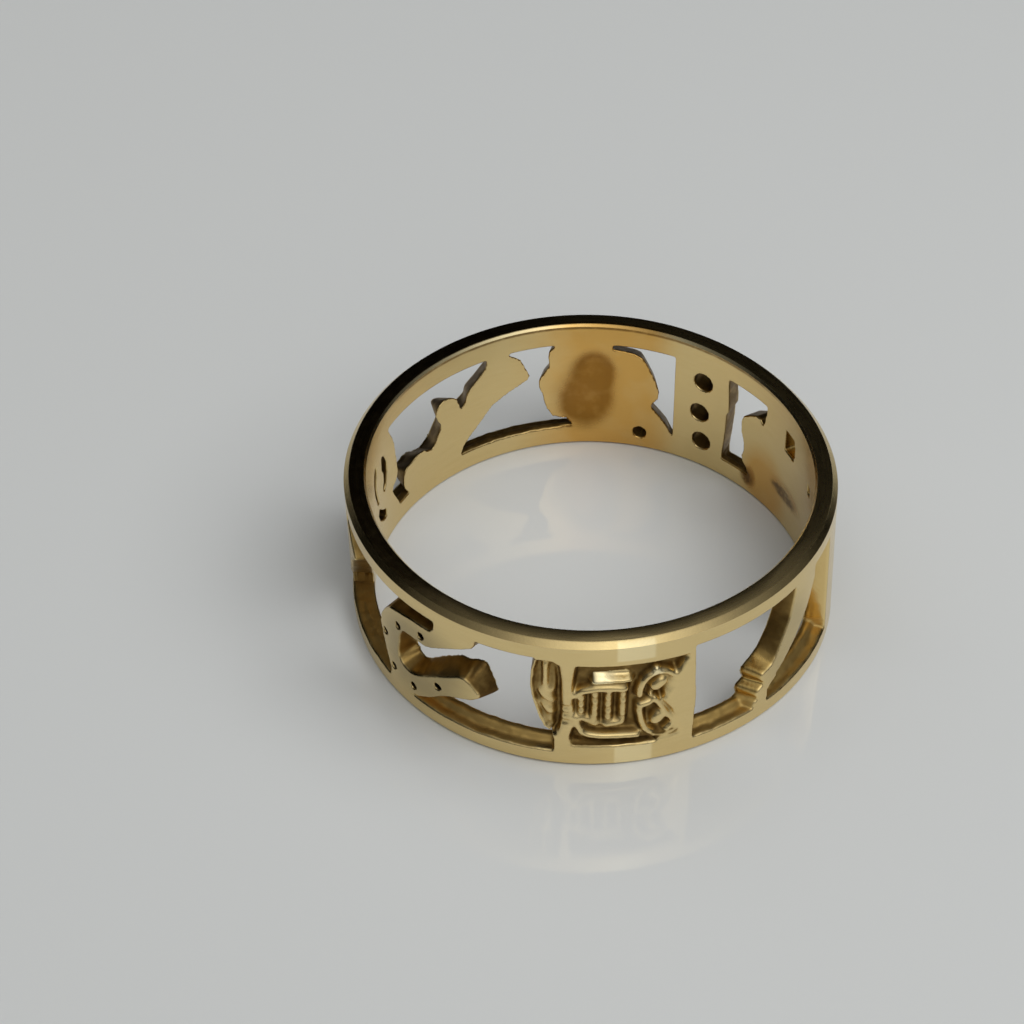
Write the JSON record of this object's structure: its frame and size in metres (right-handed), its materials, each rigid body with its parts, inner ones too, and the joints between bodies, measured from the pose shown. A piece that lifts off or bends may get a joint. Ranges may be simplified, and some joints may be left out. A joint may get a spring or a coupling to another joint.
{
  "type": "band ring",
  "caption": "Pierced band ring, cast in one piece: plain rails with a row of lucky charms between them, among them a horseshoe, a clover and a domino.",
  "frame": {"origin": "middle of the bottom rim, on the surface that the ring lies on", "axes": "+Z along the ring's axis, up; -Y towards the relief panel, the side that the picture shows nearest"},
  "size_m": [0.019, 0.019, 0.0064],
  "materials": {
    "gold": "polished, worn"
  },
  "bodies": {
    "root": {"charm_band": "gold"}
  },
  "joints": []
}
